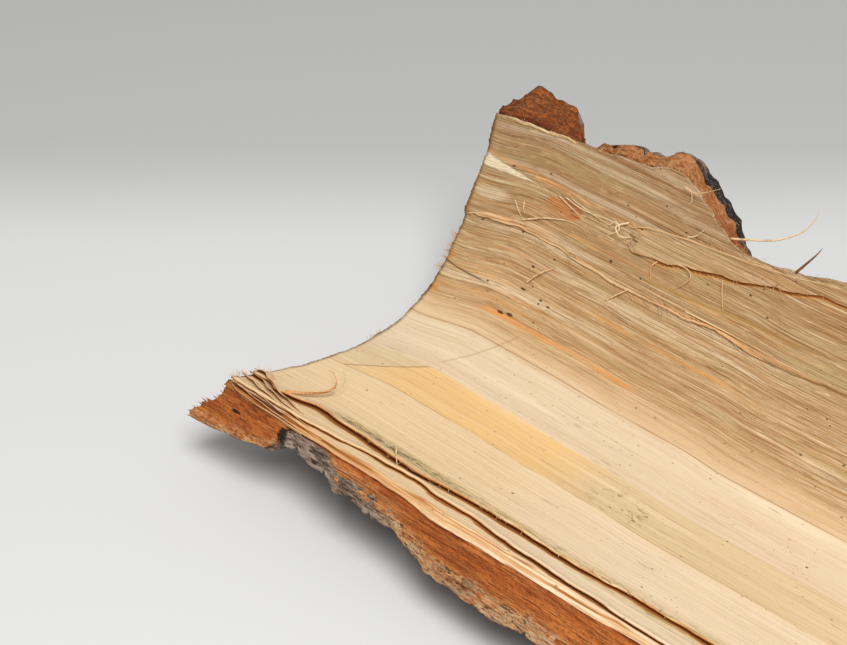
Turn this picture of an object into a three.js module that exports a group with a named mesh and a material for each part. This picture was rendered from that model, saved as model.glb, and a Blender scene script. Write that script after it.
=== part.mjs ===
// A slab of thick bark as it comes off a log: curled across the grain, pale bast inside, red-brown
// inner bark in the broken edges, and furrowed cork outside. It lies on its cork, hollow side up.
//
// Three directions measure it, all in millimetres. "along" runs with the grain, from the sawn end.
// "across" follows the curl of the inner face, from the front edge to the far rim. "deep" goes from
// the inner face out towards the cork. The part's own frame has +X along the grain, +Y to the far
// rim and +Z up. A list of pairs gives values at places along the slab, unless it says otherwise.
import * as THREE from "three";
import { mergeVertices } from "three/addons/utils/BufferGeometryUtils.js";

// Driving dimensions
const LENGTH = 345; // sawn end to broken end
const INNER_LOW = 21.6; // lowest point of the inner face above the table
const REST_CUT = 0; // cork below this height is worn flat where the slab rests
const CENTRE_ALONG = 170.1; // the middle of the whole slab, which stands over the origin
const CENTRE_Y = 85.82;

// Slope of the inner face across the grain, in degrees from level, at distances across it
const CURL = [
  [-20, -27], [0, -27], [45, -19], [75, -11], [100, 5], [122, 26],
  [142, 49], [170, 60], [195, 65], [222, 80], [250, 84],
];
const CURL_FROM = -30;
const CURL_TO = 260;

// Bast: three sheets that end in steps along the front edge, where each lies from and to in depth,
// and how deep they go together
const TOP_SHEET = {
  edge: [
    [9, 14.8], [17, 11], [24, 13.3], [37, 18], [50, 16], [88, 13], [127, 16.2], [171, 15.5],
    [205, 18.7], [345, 17],
  ],
  lip: 0.4, // how far its lower edge is set back
  to: 1.0,
};
const SECOND_SHEET = {
  edge: [
    [34, 2], [80, 8.5], [100, 10.5], [113, 8.1], [127, 7.8], [162, 3.1], [188, 1.7], [219, 0.4],
    [345, 1.6],
  ],
  lip: 0.2,
  from: 1.4,
  to: 2.3,
};
const THIRD_SHEET = { edge: 0.6, from: 2.7, above: 0.3 }; // it ends this far above the inner bark
const BAST = [
  [0, 4.6], [32, 5.5], [60, 4.9], [102, 5.2], [120, 7.2], [148, 6.8], [176, 6.4], [200, 6.6],
  [220, 5.2], [345, 5.5],
];

// Inner face: steps where a sheet has torn off, as [along, across], with a ribbon left between them
const LOW_LEDGE = [
  [0, 166.5], [6, 169], [14, 171], [34, 173], [54, 172.7], [66, 170.6], [97, 169], [117, 169.2],
  [141, 170.3], [172, 167.5], [206, 170], [345, 172],
];
const RIBBON_FOOT = [
  [0, 180], [37, 180], [76, 182], [105, 185.6], [119, 188.6], [137, 191.6], [162, 197.3],
  [184, 202.4], [230, 205.5], [345, 208],
];
const RIBBON_HEAD = [
  [0, 195], [30, 193], [66, 190.5], [82, 193], [96, 197.4], [119, 200.6], [151, 202.8],
  [190, 209], [230, 212], [345, 214],
];
const LEDGE_RISE = 1.2;
const BARE_RISE = 0.2; // what is left above the ribbon
const RIBBON_RISE = 2.2;
const RIBBON_STARTS = 96;
const RIBBON_GROWS = 10; // the length in which the ribbon comes up
const STEP = { before: 0.6, headBefore: 0.3, wide: 0.9 }; // how a step rounds off
const SWELL = { high: 0.7, along: 85, across: 38 }; // the face is never quite even

// Far rim: where the inner face ends, how the break leans out with depth, and how thick the slab is
const RIM = [
  [0, 216], [14, 218], [36, 218.8], [53, 219.4], [60, 220], [74, 222.5], [86, 223], [94, 226],
  [102, 226], [110, 223], [118, 217], [126, 211], [134, 206.5], [142, 204.5], [154, 205.2],
  [167, 207.3], [188, 211], [222, 214], [250, 219], [275, 213], [300, 217], [345, 216],
];
const RIM_LEAN = [
  [0, 0.25], [9, 0.49], [15, 0.44], [22, 0.35], [30, 0.32], [36, 0.1], [40, -0.15], [53, -0.5],
  [58, 0.1], [70, 0.25], [88, 0.25], [97, 0.35], [108, 0], [116, 0.03], [127, 0.1], [134, -0.25],
  [142, -0.4], [200, -0.3], [235, 0.2], [260, 0.4], [280, -0.2], [345, 0.1],
];
const RIM_THICK = [
  [0, 19], [36, 18], [44, 12], [54, 9], [86, 9], [94, 12], [104, 14], [128, 14], [136, 11],
  [150, 9], [200, 11], [240, 18], [265, 19], [285, 13], [345, 18],
];

// Front edge: thickness, and how far the red-brown break leans out below the bast
const FRONT_THICK = [
  [-12, 25.5], [6, 24], [17, 21.5], [28, 19], [35, 17.5], [41, 13], [46, 12.6], [59, 14],
  [65, 15], [71, 18.5], [79, 17], [94, 18.7], [104, 18.7], [112, 21.5], [127, 26], [145, 26],
  [160, 27.5], [172, 26], [205, 26.5], [240, 22], [270, 25], [300, 23], [345, 20],
];
const FRONT_LEAN = [
  [0, -0.08], [36, -0.1], [44, 0.12], [62, 0.08], [72, -0.04], [100, 0], [130, -0.05],
  [215, -0.1], [260, -0.25], [300, -0.1], [345, -0.25],
];
const FRONT_BREAK = -1; // where the break starts, just under the bast

// Sawn end: the red-brown tab at the front corner stands out past the bast, more so with depth, and
// its pull is spread along the slab
const TAB = { reach: 12.5, wide: 22, soft: 9, from: 7, to: 25, fade: 26 };
const SAW_WAVES = { high: 0.4, across: 9 };

// Broken end: how far it wanders from square, in wide and in narrow splinters, and how far in that goes
const BROKEN = { wide: 7, narrow: 2, reach: 40 };

// Every torn edge wanders as it goes along, in long and in short waves
const WANDER = { far: 0.9, every: 14, near: 0.5, often: 5 };

// Cork: ridges that run with the grain, part and meet again, with short cracks over them. A ridge is
// three cells of the lattice wide, and it sways by moving those cells. A lane is a ridge with its
// furrow, and the widths of furrows and cracks are shares of a lane.
const MIDDLE_THICK = 20;
const MIDDLE_SWELL = { high: 2, along: 80, across: 50 };
const EDGE_BAND = 34; // how far the edge thickness carries inwards
const KEEL = { across: 112, wide: 20, deep: 5 }; // a thick ridge under the bend carries the slab
const RIDGE = { cells: 3, sway: 7, every: 38, stands: 1.4, edge: 4 };
const FURROW = { deep: 7, wide: 0.36, open: 33, closed: 0.8, opening: 0.5 };
const CRACK = { deep: 2.6, every: 14, wide: 0.16 };

// Lattice: how many cells the slab has along, across and deep
const ALONG = 53;
const ACROSS = 33;

// A smooth line through [at, value] keys
function track(keys, at) {
  if (at <= keys[0][0]) return keys[0][1];
  for (let i = 1; i < keys.length; i++) {
    const [from, low] = keys[i - 1];
    const [to, high] = keys[i];
    if (at <= to) return low + (high - low) * ease((at - from) / (to - from));
  }
  return keys[keys.length - 1][1];
}

function ease(t) {
  const held = Math.min(Math.max(t, 0), 1);
  return held * held * (3 - 2 * held);
}

const mix = (a, b, t) => a + (b - a) * t;

// Smooth random hills from -1 to 1, one cell to a unit
function hills(u, v, seed) {
  const cell = (i, j) => {
    const spread = Math.sin(i * 127.1 + j * 311.7 + seed * 74.7) * 43758.5453;
    return 2 * (spread - Math.floor(spread)) - 1;
  };
  const i = Math.floor(u);
  const j = Math.floor(v);
  const across = ease(u - i);
  const low = mix(cell(i, j), cell(i + 1, j), across);
  const high = mix(cell(i, j + 1), cell(i + 1, j + 1), across);
  return mix(low, high, ease(v - j));
}

// The curl, summed a millimetre at a time from its slope
const curl = [];
{
  let y = 0;
  let z = 0;
  for (let at = CURL_FROM; at <= CURL_TO; at++) {
    const slope = THREE.MathUtils.degToRad(slopeAt(at));
    curl.push({ y, z, slope });
    y += Math.cos(slope);
    z += Math.sin(slope);
  }
  const frontY = curl[-CURL_FROM].y;
  const lowest = Math.min(...curl.map((point) => point.z));
  for (const point of curl) {
    point.y -= frontY;
    point.z -= lowest;
  }
}

function slopeAt(across) {
  if (across <= CURL[0][0]) return CURL[0][1];
  for (let i = 1; i < CURL.length; i++) {
    const [from, low] = CURL[i - 1];
    const [to, high] = CURL[i];
    if (across <= to) return mix(low, high, (across - from) / (to - from));
  }
  return CURL[CURL.length - 1][1];
}

// A point of the slab in the part's frame
function place(along, across, deep) {
  const at = Math.min(Math.max(across, CURL_FROM), CURL_TO - 1.001) - CURL_FROM;
  const whole = Math.floor(at);
  const a = curl[whole];
  const b = curl[whole + 1];
  const slope = mix(a.slope, b.slope, at - whole);
  const y = mix(a.y, b.y, at - whole) + Math.sin(slope) * deep;
  const z = mix(a.z, b.z, at - whole) - Math.cos(slope) * deep + INNER_LOW;
  return [along - CENTRE_ALONG, y - CENTRE_Y, Math.max(z, REST_CUT)];
}

// How far the inner face stands up from its curl
function rise(along, across) {
  const low = track(LOW_LEDGE, along);
  const foot = track(RIBBON_FOOT, along);
  const head = track(RIBBON_HEAD, along);
  const ribbon = ease((along - RIBBON_STARTS) / RIBBON_GROWS);
  const sheet = LEDGE_RISE * ease((across - low + STEP.before) / STEP.wide);
  const strip = (RIBBON_RISE - LEDGE_RISE) * ribbon * ease((across - foot + STEP.before) / STEP.wide);
  const drop = LEDGE_RISE - BARE_RISE + (RIBBON_RISE - LEDGE_RISE) * ribbon;
  const bare = drop * ease((across - head + STEP.headBefore) / STEP.wide);
  const swell = SWELL.high * hills(along / SWELL.along, across / SWELL.across, 11);
  return sheet + strip - bare + swell;
}

// Thickness of the slab from its inner face to the cork
function thick(along, across, lane) {
  const fromFront = ease(across / EDGE_BAND);
  const toRim = ease((track(RIM, along) - across) / EDGE_BAND);
  const keel = KEEL.deep * Math.exp(-(((across - KEEL.across) / KEEL.wide) ** 2));
  const swell = MIDDLE_SWELL.high * hills(along / MIDDLE_SWELL.along, across / MIDDLE_SWELL.across, 5);
  const middle = MIDDLE_THICK + keel + swell;
  const edged = mix(track(FRONT_THICK, along), middle, fromFront);
  return mix(track(RIM_THICK, along), edged, toRim) + cork(along, lane);
}

// A whole lane is a furrow, which closes in places, and the ridge after it is broken across here and there
const laneOf = (j) => (j + 1) / RIDGE.cells;
function cork(along, lane) {
  const nearest = Math.round(lane);
  const open = ease((hills(along / FURROW.open, nearest * 3.7, 7) + FURROW.closed) / FURROW.opening);
  const furrow = open * (1 - ease(Math.abs(lane - nearest) / FURROW.wide));
  const broken = Math.abs(hills(along / CRACK.every, Math.floor(lane) * 5.3, 8));
  const crack = 1 - ease(broken / CRACK.wide);
  return RIDGE.stands - FURROW.deep * furrow - CRACK.deep * crack * (1 - furrow);
}

function sway(along, j) {
  const inside = ease(j / RIDGE.edge) * ease((ACROSS - j) / RIDGE.edge);
  return inside * RIDGE.sway * hills(along / RIDGE.every, laneOf(j), 2);
}

// Rows of the lattice from the inner face to the cork. Each gives where the row starts at the front
// edge and its depth at a place across it. The broken rows share the thickness below the bast.
const SHARES = [0.02, 0.36, 0.7, 1];
function wander(along, seed) {
  const far = WANDER.far * hills(along / WANDER.every, 0.5, seed);
  return far + WANDER.near * hills(along / WANDER.often, 0.5, seed + 1);
}
const bast = (along) => track(BAST, along);
const topEdge = (along) => track(TOP_SHEET.edge, along) + wander(along, 31);
const secondEdge = (along) => track(SECOND_SHEET.edge, along) + wander(along, 34);
function frontBreak(along, share) {
  const deep = mix(bast(along), track(FRONT_THICK, along), share);
  return FRONT_BREAK + track(FRONT_LEAN, along) * (deep - bast(along)) + wander(along, 40 + 5 * share);
}
const rows = [
  { front: topEdge, deep: (along, across) => -rise(along, across) },
  { front: (along) => topEdge(along) + TOP_SHEET.lip, deep: () => TOP_SHEET.to },
  { front: secondEdge, deep: () => SECOND_SHEET.from },
  { front: (along) => secondEdge(along) + SECOND_SHEET.lip, deep: () => SECOND_SHEET.to },
  { front: (along) => THIRD_SHEET.edge + wander(along, 37), deep: () => THIRD_SHEET.from },
  { front: (along) => FRONT_BREAK + wander(along, 37), deep: (along) => bast(along) - THIRD_SHEET.above },
  ...SHARES.map((share) => ({
    front: (along) => frontBreak(along, share),
    deep: (along, across, lane) => mix(bast(along), thick(along, across, lane), share),
    broken: true,
    share,
  })),
];
const DEEP = rows.length - 1;

// Columns of the inner face, which keep to the torn steps. A stop is [cell, across].
const HEAD_BELOW_RIM = 2; // the ribbon's head stays this far below the rim at least
function column(along, j, front, rim) {
  const low = track(LOW_LEDGE, along);
  const foot = track(RIBBON_FOOT, along);
  const head = Math.min(track(RIBBON_HEAD, along), rim - HEAD_BELOW_RIM);
  const stops = [
    [0, front], [21, low - 0.7], [22, low + 0.5], [24, foot - 0.7], [25, foot + 0.5],
    [28, head - 0.4], [29, head + 0.7], [ACROSS, rim],
  ];
  for (let i = 1; i < stops.length; i++) {
    const [from, a] = stops[i - 1];
    const [to, b] = stops[i];
    if (j <= to) return mix(a, b, (j - from) / (to - from));
  }
  return rim;
}

// The depth that a row has at the rim, which leans out with it
const NEAR_RIM = 200;
function rimDepth(row, along) {
  if (row.broken) return mix(bast(along), track(RIM_THICK, along), row.share);
  return Math.max(row.deep(along, NEAR_RIM), 0);
}

// What the sawn end adds to a place along the slab: the tab, and the waves of the saw
function sawnEnd(row, across, deep) {
  const inWidth = ease((TAB.wide - across) / TAB.soft);
  const inTab = row.broken ? inWidth * ease((deep - TAB.from) / (TAB.to - TAB.from)) : 0;
  return -TAB.reach * inTab + SAW_WAVES.high * hills(across / SAW_WAVES.across, deep, 61);
}

// What the broken end adds to a place along the slab
function brokenEnd(across, deep) {
  return BROKEN.wide * hills(across / 26, deep / 9, 71) + BROKEN.narrow * hills(across / 8, deep / 4, 72);
}

function vertex(i, j, k) {
  const row = rows[k];
  const station = (LENGTH * i) / ALONG;
  const front = row.front(station);
  const lean = track(RIM_LEAN, station) * rimDepth(row, station);
  const rim = track(RIM, station) + lean + wander(station, 51 + k);
  const straight = mix(front, rim, j / ACROSS) + (row.broken ? row.share * sway(station, j) : 0);
  const across = k === 0 ? column(station, j, front, rim) : straight;
  const deep = row.deep(station, across, laneOf(j));
  const atSawn = ease(1 - station / TAB.fade) * sawnEnd(row, across, deep);
  const atBroken = ease((station - LENGTH + BROKEN.reach) / BROKEN.reach) * brokenEnd(across, deep);
  return place(station + atSawn + atBroken, across, deep);
}

// The outside of the lattice as one closed surface
function slab() {
  const positions = [];
  const quad = (a, b, c, d) => positions.push(...a, ...b, ...c, ...a, ...c, ...d);
  const sheet = (us, vs, point, flip) => {
    for (let u = 0; u < us; u++)
      for (let v = 0; v < vs; v++) {
        const corners = [point(u, v), point(u + 1, v), point(u + 1, v + 1), point(u, v + 1)];
        if (flip) corners.reverse();
        quad(...corners);
      }
  };
  sheet(ALONG, ACROSS, (u, v) => vertex(u, v, 0), false);
  sheet(ALONG, ACROSS, (u, v) => vertex(u, v, DEEP), true);
  sheet(ALONG, DEEP, (u, v) => vertex(u, 0, v), true);
  sheet(ALONG, DEEP, (u, v) => vertex(u, ACROSS, v), false);
  sheet(ACROSS, DEEP, (u, v) => vertex(0, u, v), false);
  sheet(ACROSS, DEEP, (u, v) => vertex(ALONG, u, v), true);
  const geometry = new THREE.BufferGeometry();
  geometry.setAttribute("position", new THREE.Float32BufferAttribute(positions, 3));
  return mergeVertices(geometry, 1e-3);
}

const BARK_COLOUR = 0xc9ab82;
const barkMaterial = new THREE.MeshStandardMaterial({ color: BARK_COLOUR, roughness: 0.85, metalness: 0 });

const bark = new THREE.Mesh(slab(), barkMaterial);
bark.name = "bark";

const piece = new THREE.Group();
piece.add(bark);

export default piece;
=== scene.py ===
import bpy
import numpy as np
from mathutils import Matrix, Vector


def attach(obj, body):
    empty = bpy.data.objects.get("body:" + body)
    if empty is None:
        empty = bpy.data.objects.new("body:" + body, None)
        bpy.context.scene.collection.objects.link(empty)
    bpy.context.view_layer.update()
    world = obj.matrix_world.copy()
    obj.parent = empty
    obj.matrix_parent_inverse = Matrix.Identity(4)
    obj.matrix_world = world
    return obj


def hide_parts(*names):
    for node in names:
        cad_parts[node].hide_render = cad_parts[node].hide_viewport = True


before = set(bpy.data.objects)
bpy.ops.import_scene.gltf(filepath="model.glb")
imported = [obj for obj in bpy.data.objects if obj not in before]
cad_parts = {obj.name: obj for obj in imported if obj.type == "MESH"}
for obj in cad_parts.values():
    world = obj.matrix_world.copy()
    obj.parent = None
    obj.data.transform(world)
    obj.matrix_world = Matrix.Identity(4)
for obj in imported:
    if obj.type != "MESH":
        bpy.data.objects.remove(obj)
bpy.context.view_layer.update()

# The camera
# It looks down into the hollow from the broken end, over the front edge, through a long lens.
CAMERA_AT = Vector((0.34239, -0.51642, 0.55831))
CAMERA_ROUND, CAMERA_UP = np.radians((43, 36))
LENS, SENSOR_WIDE = 85, 36
NEAREST = 0.01

camera = bpy.data.objects.new("camera", bpy.data.cameras.new("camera"))
camera.data.lens = LENS
camera.data.sensor_width = SENSOR_WIDE
camera.data.clip_start = NEAREST
camera.location = CAMERA_AT
towards_camera = Vector((
    np.sin(CAMERA_ROUND) * np.cos(CAMERA_UP),
    -np.cos(CAMERA_ROUND) * np.cos(CAMERA_UP),
    np.sin(CAMERA_UP),
))
camera.rotation_mode = "QUATERNION"
camera.rotation_quaternion = (-towards_camera).to_track_quat("-Z", "Y")
bpy.context.scene.collection.objects.link(camera)
bpy.context.scene.camera = camera

# The bast face
# The pale inner face is the youngest bast, a tough fibrous sheet that peeled clean off the wood. It keeps the
# round of the trunk, and opened and warped as it dried. Its edge is torn back from the front, and on the far
# wall a strip of it has come away in two long steps.
LENGTH = 345
INNER_LOW = 21.6
CENTRE_ALONG, CENTRE_Y = 170.1, 85.82
# The slope of the curl, in degrees from level, at places across it. Every layer is laid out on this curl.
CURL = [
    (-20, -27), (0, -27), (45, -19), (75, -11), (100, 5), (122, 26),
    (142, 49), (170, 60), (195, 65), (222, 80), (250, 84),
]
CURL_FROM, CURL_TO = -30, 260

curl_at = np.arange(CURL_FROM, CURL_TO + 1)
curl_slope = np.radians(np.interp(curl_at, *zip(*CURL)))
curl_y = np.concatenate([[0], np.cumsum(np.cos(curl_slope[:-1]))])
curl_z = np.concatenate([[0], np.cumsum(np.sin(curl_slope[:-1]))])
curl_y -= curl_y[-CURL_FROM]
curl_z -= curl_z.min()


def place(along, across, deep):
    """Points of the slab in the row's frame, in metres. Nothing reaches below the table."""
    at = np.clip(across, CURL_FROM, CURL_TO - 1)
    slope = np.interp(at, curl_at, curl_slope)
    y = np.interp(at, curl_at, curl_y) + np.sin(slope) * deep - CENTRE_Y
    z = np.interp(at, curl_at, curl_z) - np.cos(slope) * deep + INNER_LOW
    return np.stack(np.broadcast_arrays(along - CENTRE_ALONG, y, np.maximum(z, 0)), -1) / 1000


def ease(t):
    held = np.clip(t, 0, 1)
    return held * held * (3 - 2 * held)


def mix(a, b, t):
    return a + (b - a) * t


def track(keys, at):
    """A smooth line through (at, value) keys."""
    ats, values = np.array(keys, float).T
    held = np.clip(at, ats[0], ats[-1])
    k = np.clip(np.searchsorted(ats, held) - 1, 0, len(ats) - 2)
    return mix(values[k], values[k + 1], ease((held - ats[k]) / (ats[k + 1] - ats[k])))


def hills(u, v, seed):
    """Smooth random hills from -1 to 1, one cell to a unit."""
    def cell(i, j):
        # A sine that turns fast enough gives a number that looks drawn by lot.
        spread = np.sin(i * 127.1 + j * 311.7 + seed * 74.7) * 43758.5453
        return 2 * (spread - np.floor(spread)) - 1
    i, j = np.floor(u), np.floor(v)
    over = ease(u - i)
    low = mix(cell(i, j), cell(i + 1, j), over)
    high = mix(cell(i, j + 1), cell(i + 1, j + 1), over)
    return mix(low, high, ease(v - j))


def ripples(u, v, *sizes):
    """A sum of hills, each given as its height, its length along u and along v, and its seed."""
    return sum(height * hills(u / long, v / wide, seed) for height, long, wide, seed in sizes)


# How far the grain drifts across the slab at places along it.
GRAIN_DRIFT = [(0, -2.5), (37, 2.3), (77, 1.5), (115, 0.3), (151, 0), (176, -1.5), (345, 0)]


def on_grain(along, across, deep):
    """Where a place lies on the grain, which the materials are laid out on."""
    return np.stack(np.broadcast_arrays(along, across - track(GRAIN_DRIFT, along), deep), -1)


def mesh_piece(name, points, counts, corners, marks):
    """A mesh object from points, the number of corners of each face, and what is marked on each point."""
    mesh = bpy.data.meshes.new(name)
    mesh.vertices.add(len(points))
    mesh.vertices.foreach_set("co", np.ascontiguousarray(points, dtype=np.float32).ravel())
    mesh.loops.add(len(corners))
    mesh.loops.foreach_set("vertex_index", np.ascontiguousarray(corners, dtype=np.int32))
    mesh.polygons.add(len(counts))
    starts = np.concatenate([[0], np.cumsum(counts)[:-1]])
    mesh.polygons.foreach_set("loop_start", starts.astype(np.int32))
    mesh.update(calc_edges=True)
    mesh.validate()
    for mark, values in marks.items():
        data = mesh.attributes.new(mark, "FLOAT_VECTOR" if mark == "slab" else "FLOAT", "POINT").data
        data.foreach_set("vector" if mark == "slab" else "value", np.ravel(values).astype(np.float32))
    mesh.shade_smooth()
    piece = bpy.data.objects.new(name, mesh)
    bpy.context.scene.collection.objects.link(piece)
    return piece


HIDDEN_BLOCKS = 60


def layer(name, point, cells, hidden=()):
    """One closed layer of the slab, a skin over a lattice of cells along, across and deep.

    point(i, j, k) gives along, across, deep, relief and stain for lattice places from 0 to 1. A face that is
    named in hidden, "inner" or "outer", lies on another layer, so it is made of large blocks, about
    HIDDEN_BLOCKS each way.
    """
    number = -np.ones([count + 1 for count in cells], dtype=np.int64)
    used = np.zeros(number.shape, dtype=bool)
    used[0], used[-1], used[:, 0], used[:, -1] = True, True, True, True
    blocks = [sorted({*range(0, count, max(count // HIDDEN_BLOCKS, 1)), count}) for count in cells[:2]]
    for face, k in (("inner", 0), ("outer", -1)):
        if face in hidden:
            used[np.ix_(blocks[0], blocks[1], [k])] = True
        else:
            used[:, :, k] = True
    places = np.argwhere(used)
    number[used] = np.arange(len(places))
    counts, corners = [], []

    def quads(grid, flip):
        around = np.stack([grid[:-1, :-1], grid[1:, :-1], grid[1:, 1:], grid[:-1, 1:]], -1).reshape(-1, 4)
        corners.append((around[:, ::-1] if flip else around).ravel())
        counts.append(np.full(len(around), 4))

    def large(grid, flip):
        last_a, last_b = grid.shape[0] - 1, grid.shape[1] - 1
        for a, next_a in zip(blocks[0], blocks[0][1:]):
            for b, next_b in zip(blocks[1], blocks[1][1:]):
                around = [(p, b) for p in (range(a, next_a) if b == 0 else (a,))]
                around += [(next_a, q) for q in (range(b, next_b) if next_a == last_a else (b,))]
                around += [(p, next_b) for p in (range(next_a, a, -1) if next_b == last_b else (next_a,))]
                around += [(a, q) for q in (range(next_b, b, -1) if a == 0 else (next_b,))]
                loop = [grid[p, q] for p, q in around]
                corners.append(np.array(loop[::-1] if flip else loop))
                counts.append(np.array([len(loop)]))

    (large if "inner" in hidden else quads)(number[:, :, 0], False)
    (large if "outer" in hidden else quads)(number[:, :, -1], True)
    quads(number[:, 0, :], True)
    quads(number[:, -1, :], False)
    quads(number[0], False)
    quads(number[-1], True)
    along, across, deep, relief, stain = np.broadcast_arrays(*point(*(places / np.array(cells)).T))
    marks = {"slab": on_grain(along, across, deep), "relief": relief, "stain": stain}
    points = place(along, across, deep)
    return mesh_piece(name, points, np.concatenate(counts), np.concatenate(corners), marks)


# Lines along the slab, each as (along, value): the thickness of the bast, then edges of its sheets across.
BAST = [
    (0, 4.6), (32, 5.5), (60, 4.9), (102, 5.2), (120, 7.2), (148, 6.8), (176, 6.4), (200, 6.6), (220, 5.2),
    (345, 5.5),
]
TOP_EDGE = [
    (9, 14.8), (17, 11), (24, 13.3), (37, 18), (50, 16), (88, 13), (127, 16.2), (171, 15.5), (205, 18.7),
    (345, 17),
]
TOP_DEEP = 1.0
RIM = [
    (0, 216), (14, 218), (36, 218.8), (53, 219.4), (60, 220), (74, 222.5), (86, 223), (94, 226), (102, 226),
    (110, 223), (118, 217), (126, 211), (134, 206.5), (142, 204.5), (154, 205.2), (167, 207.3), (188, 211),
    (222, 214), (250, 219), (275, 213), (300, 217), (345, 216),
]
LOW_LEDGE = [
    (0, 166.5), (6, 169), (14, 171), (34, 173), (54, 172.7), (66, 170.6), (97, 169), (117, 169.2),
    (141, 170.3), (172, 167.5), (206, 170), (345, 172),
]
RIBBON_FOOT = [
    (0, 180), (37, 180), (76, 182), (105, 185.6), (119, 188.6), (137, 191.6), (162, 197.3), (184, 202.4),
    (230, 205.5), (345, 208),
]
RIBBON_HEAD = [
    (0, 195), (30, 193), (66, 190.5), (82, 193), (96, 197.4), (119, 200.6), (151, 202.8), (190, 209),
    (230, 212), (345, 214),
]
EDGE_CURL, EDGE_CURL_WIDE = 1.7, 8
LEDGE_RISE, BARE_RISE = 1.2, 0.2
BROKEN_END, BROKEN_LONG = 7, 40


def ragged(along, seed, size=1.0):
    """How a torn edge wanders along the grain."""
    return size * ripples(along, 0.5, (0.9, 14, 1, seed), (0.5, 5, 1, seed + 1), (0.3, 1.9, 1, seed + 2))


def torn_edge(keys, along, seed, size=0.9):
    """Where a torn edge runs, about its line along the slab."""
    return track(keys, along) + ragged(along, seed, size)


def sawn_edge(along, across, deep, seed):
    """What the sawn end adds to a place along the slab: a rough cut with torn fibres."""
    waves = ripples(across, deep, (0.6, 9, 6, seed), (0.3, 2.7, 2, seed + 20), (0.2, 0.8, 1, seed + 60))
    torn = np.maximum(hills(across / 0.9, deep / 1.3, seed + 40) * hills(across / 6.3, 0.5, seed + 50), 0)
    return ease(1 - along / 3) * (waves - 1.1 * torn)


def broken_end(along, across, deep):
    """What the near end adds to a place along the slab, where it snapped off ragged."""
    near = ease((along - LENGTH + BROKEN_LONG) / BROKEN_LONG)
    wide = ripples(across, deep, (BROKEN_END, 26, 9, 71), (2, 8, 4, 72))
    fine = ripples(across, deep, (1.6, 2.2, 2, 73), (0.8, 0.9, 1.5, 74))
    return near * (wide + fine * ease((along - LENGTH + 6) / 6))


def swell(along, across):
    """Low swells of the whole inner face."""
    return ripples(along, across, (0.7, 85, 38, 11))


def bast_rise(along, across):
    """How far the bast face stands up from the curl."""
    low = torn_edge(LOW_LEDGE, along, 91, 0.7)
    head = torn_edge(RIBBON_HEAD, along, 94, 0.8)
    sheet = LEDGE_RISE * ease((across - low + 0.4) / 0.7)
    bare = (LEDGE_RISE - BARE_RISE) * ease((across - head + 0.3) / 0.7)
    return sheet - bare + swell(along, across)


def grain(along, across):
    """Fine ridges of the bast face: nearly none in the trough, wrinkled fibre on the far wall."""
    wall = ease((across - 112) / 30) * (0.35 + 0.65 * ease((along - 20) / 60))
    above = ease((across - track(RIBBON_HEAD, along)) / 3)
    wrinkles = ripples(along, across, (0.2, 120, 2.6, 82), (0.2, 26, 1.4, 83), (0.14, 15, 0.95, 80))
    folded = ease((along - 70) / 60) * ease((across - 125) / 20)
    folds = folded * ripples(along, across, (0.24, 110, 7.5, 81))
    soft = ripples(along, across, (0.1, 70, 6, 84), (0.05, 40, 1.6, 85), (0.05, 60, 0.95, 86))
    return (wrinkles + folds) * wall * (1 - 0.6 * above) + soft


def bast_face_point(u, v, w):
    """The face, from its torn front edge to the rim. Stained at that edge; painted shadow under the ribbon.
    """
    station = LENGTH * u
    edge = torn_edge(TOP_EDGE, station, 31)
    rim = torn_edge(RIM, station, 51, 0.8)
    across = mix(edge, rim, v)
    curled = 0.55 + 0.45 * hills(station / 17, 0.5, 97)
    curl_up = EDGE_CURL * ease(1 - (across - edge) / EDGE_CURL_WIDE) * curled
    relief = grain(station, across - track(GRAIN_DRIFT, station))
    top = -bast_rise(station, across) - relief - curl_up
    bottom = TOP_DEEP - 0.2 - curl_up * 0.95
    deep = mix(top, bottom, w)
    along = station + sawn_edge(station, across, deep, 61) + broken_end(station, across, 0)
    # Painted shadow under the ribbon, from just below its foot up to its head.
    past_foot = across - track(RIBBON_FOOT, station)
    below_head = track(RIBBON_HEAD, station) - across
    covered = ease(past_foot / 1.5 + 1) * ease(below_head / 2) * ease((station - 98) / 8)
    at_edge = (0.25 + w + 0.5 * hills(station / 7, 0.5, 99)) * ease(1 - v * 60)
    return along, across, deep, relief * (1 - w), np.maximum(at_edge, covered)


def belongs(piece, material):
    """Give a piece its material. Every layer and strand stands for part of the one solid of bark."""
    piece.data.materials.append(material)
    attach(piece, "root")
    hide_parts("bark")


def light(colour):
    """A colour as a screen shows it, from 0 to 255, in the light that Blender works with."""
    shown = np.array(colour) / 255
    return (*np.where(shown > 0.04045, ((shown + 0.055) / 1.055) ** 2.4, shown / 12.92), 1)


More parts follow.
